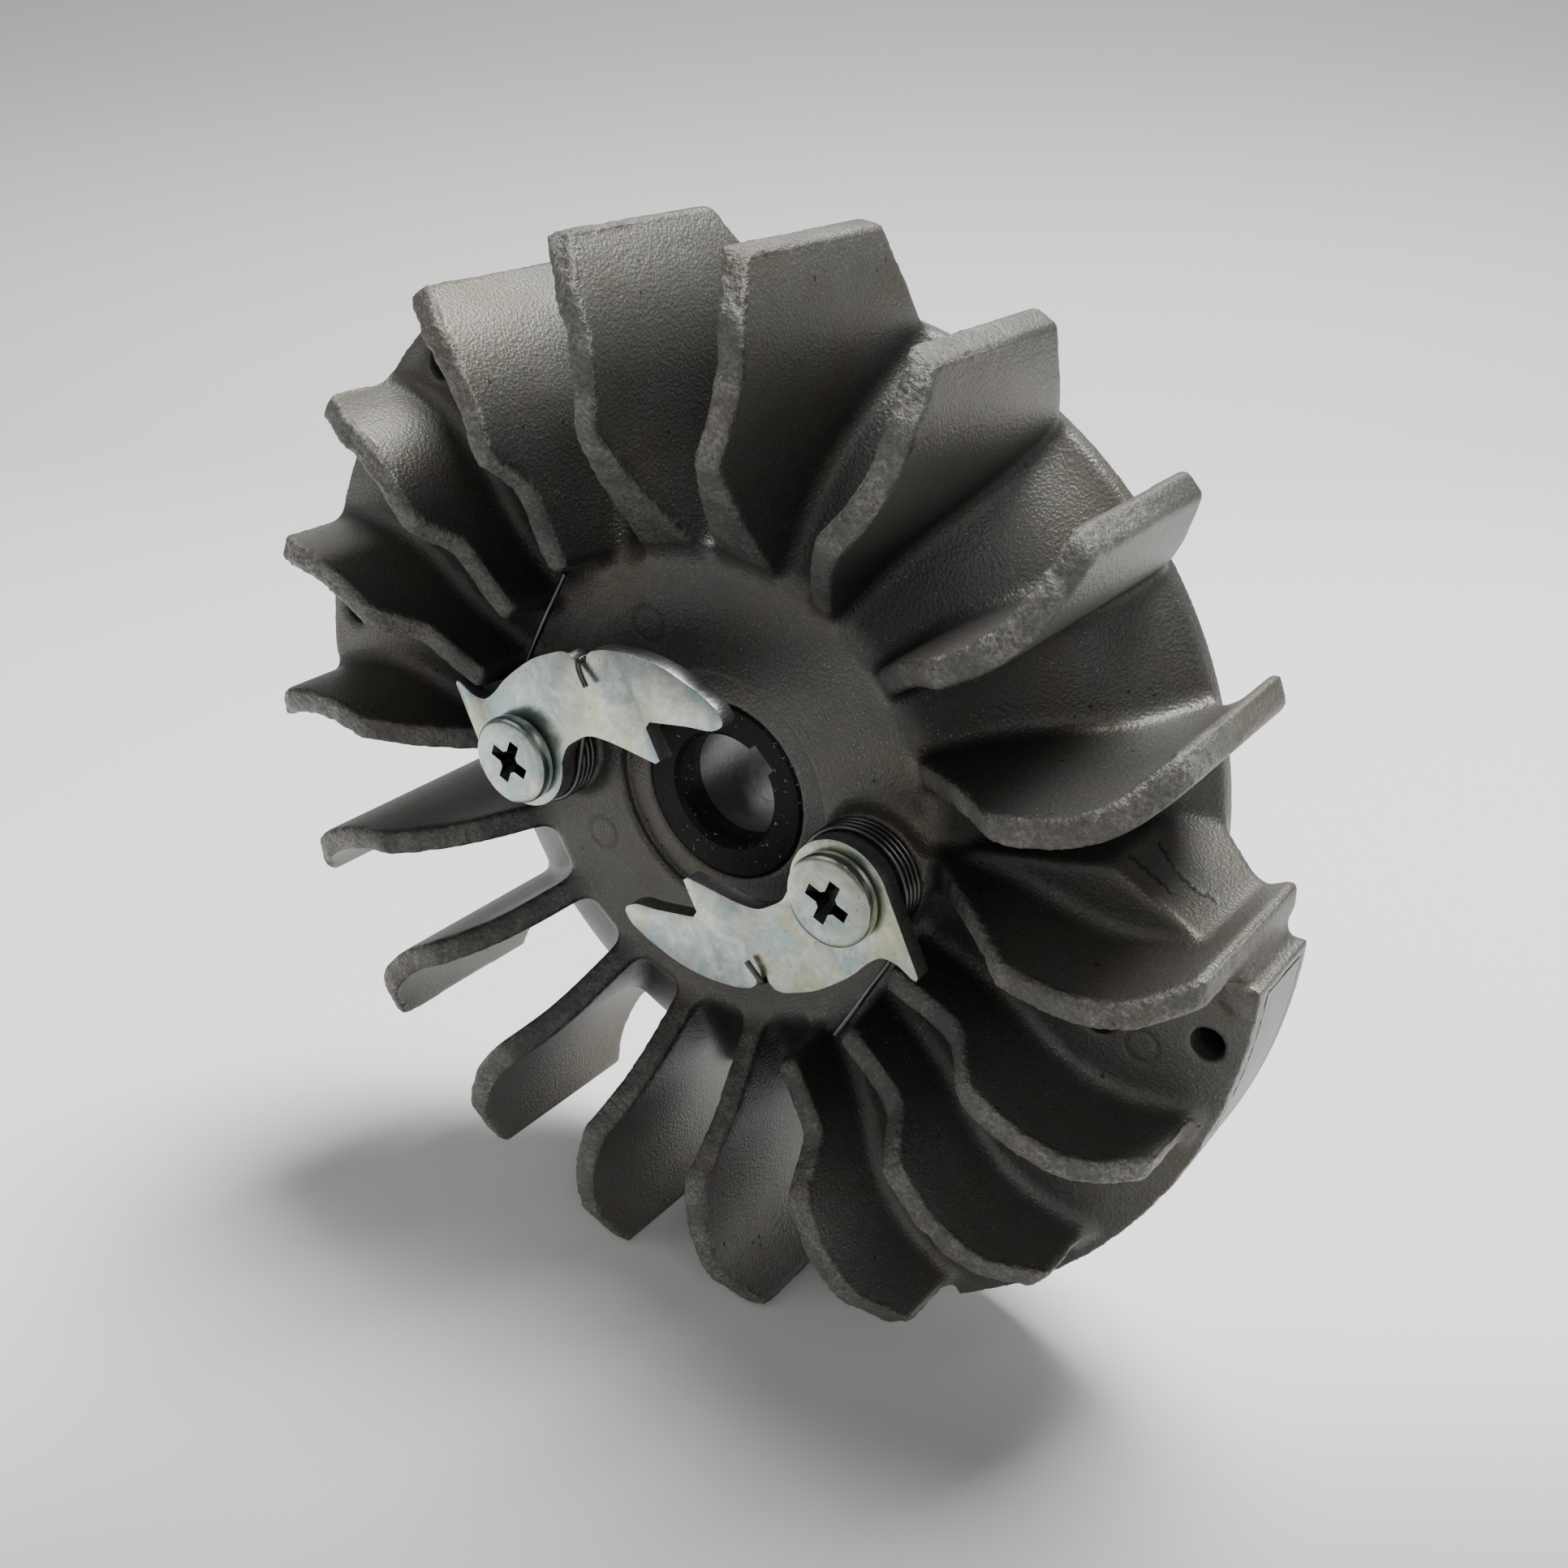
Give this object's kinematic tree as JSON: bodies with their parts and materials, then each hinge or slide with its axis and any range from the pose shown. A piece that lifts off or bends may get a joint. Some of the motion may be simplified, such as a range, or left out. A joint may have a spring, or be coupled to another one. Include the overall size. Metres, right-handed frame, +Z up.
{
  "type": "flywheel",
  "caption": "Cast fan flywheel of a small petrol engine, with curved cooling blades, a magnet sector, a counterweight sector, a keyed steel hub insert and sprung starter pawls.",
  "frame": {"origin": "on the crank bore's axis, at the front end of the bore's cylindrical land", "axes": "+Y along the wheel axis towards the engine, the fan and pawl side faces -Y, +Z up midway between the blades with the flared roots, +X to the right seen from the pawl side"},
  "size_m": [0.1203, 0.0334, 0.1168],
  "materials": {
    "cast_aluminium": "satin",
    "insert_steel": "satin",
    "zinc_plate": "satin",
    "spring_steel": "satin",
    "lamination_steel": "satin",
    "magnet_material": "matte",
    "slug_iron": "matte"
  },
  "bodies": {
    "wheel": {"fan_casting": "cast_aluminium", "hub_insert": "insert_steel", "magnet": "magnet_material", "pole_shoe_upper": "lamination_steel", "pole_shoe_lower": "lamination_steel", "counterweight": "slug_iron", "pawl_bush_left": "zinc_plate", "pawl_bush_right": "zinc_plate", "pawl_screw_left": "zinc_plate", "pawl_screw_right": "zinc_plate", "pawl_spring_left": "spring_steel", "pawl_spring_right": "spring_steel"},
    "left_pawl": {"pawl_left": "zinc_plate"},
    "right_pawl": {"pawl_right": "zinc_plate"}
  },
  "joints": [
    {"name": "pawl_left_hinge", "type": "hinge", "parent": "wheel", "child": "left_pawl", "pos_m": [-0.02072, 0, 0.00236], "axis": [0, -1, 0], "range_deg": [0, 25], "stiffness_Nm_per_rad": 0.02, "springref_deg": -34.38, "deforming": ["pawl_spring_left"]},
    {"name": "pawl_right_hinge", "type": "hinge", "parent": "wheel", "child": "right_pawl", "pos_m": [0.02072, 0, -0.00236], "axis": [0, -1, 0], "range_deg": [0, 25], "stiffness_Nm_per_rad": 0.02, "springref_deg": -34.38, "deforming": ["pawl_spring_right"]}
  ]
}
